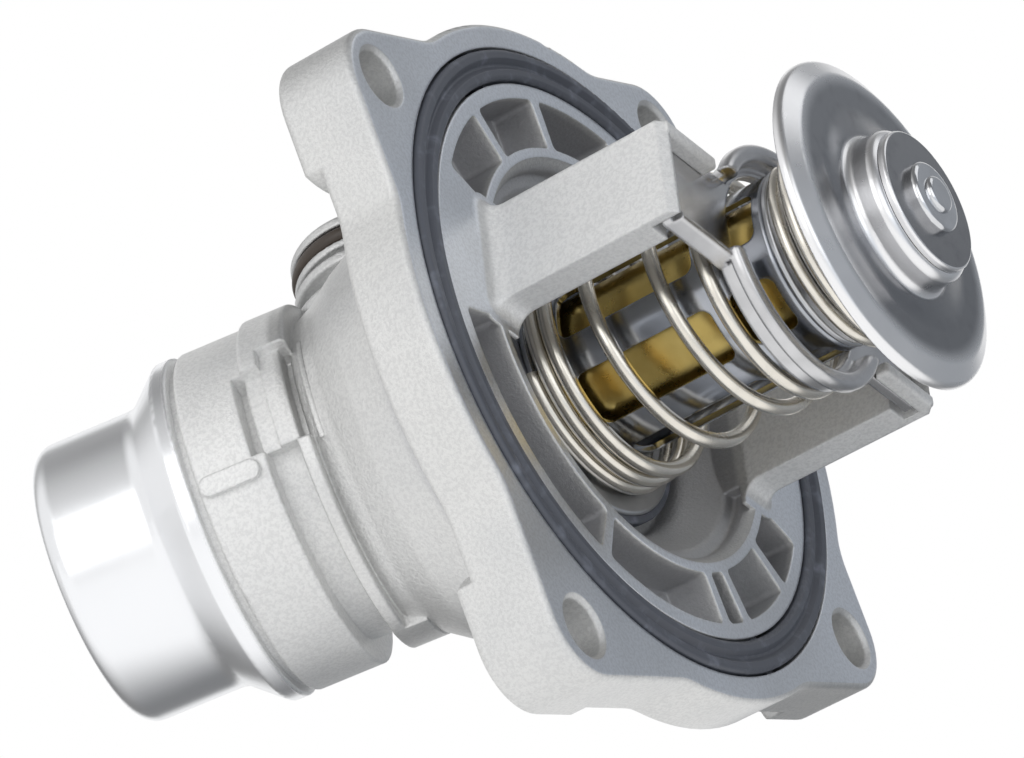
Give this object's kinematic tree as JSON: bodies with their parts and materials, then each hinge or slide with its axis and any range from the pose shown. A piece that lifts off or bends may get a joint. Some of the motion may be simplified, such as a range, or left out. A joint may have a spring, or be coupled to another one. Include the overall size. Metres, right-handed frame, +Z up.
{
  "type": "engine coolant valve",
  "caption": "Wax-driven engine coolant valve in a cast four-bolt housing, with a pipe outlet, a side port, a caged main spring and a sprung bypass disc.",
  "frame": {"origin": "where the valve's axis meets the machined joint face of the flange", "axes": "+X along the valve's axis, out of the joint face towards the engine; +Z up, along the flange's long side; +Y completes the right-handed set"},
  "size_m": [0.1158, 0.0864, 0.0864],
  "materials": {
    "cast_aluminium": "satin",
    "seal_rubber": "matte",
    "port_seal_rubber": "matte",
    "pressed_steel": "satin",
    "spring_steel": "satin",
    "polished_steel": "polished",
    "brass": "satin",
    "wax": "satin",
    "bush_plastic": "matte"
  },
  "bodies": {
    "housing": {"housing": "cast_aluminium", "flange_seal": "seal_rubber", "port_seal": "port_seal_rubber", "spring_retainer": "pressed_steel", "piston": "polished_steel", "main_spring": "spring_steel"},
    "valve": {"main_valve_plate": "pressed_steel", "main_valve_seal": "seal_rubber", "guide_sleeve": "pressed_steel", "element_body": "brass", "element_guide": "brass", "piston_wiper": "bush_plastic", "rubber_boot": "seal_rubber", "wax_charge": "wax", "bypass_stem": "polished_steel", "stem_washer": "polished_steel", "bypass_spring_seat": "pressed_steel", "bypass_spring": "spring_steel"},
    "bypass": {"bypass_disc": "polished_steel", "disc_hub": "polished_steel", "guide_bush": "bush_plastic"}
  },
  "joints": [
    {"name": "valve_slide", "type": "slide", "parent": "housing", "child": "valve", "axis": [1, 0, 0], "range_m": [0, 0.008], "stiffness_N_per_m": 2500, "springref_m": -0.012, "deforming": ["main_spring"]},
    {"name": "bypass_slide", "type": "slide", "parent": "valve", "child": "bypass", "axis": [1, 0, 0], "range_m": [-0.004, 0], "stiffness_N_per_m": 1200, "springref_m": 0.004, "deforming": ["bypass_spring"]}
  ]
}
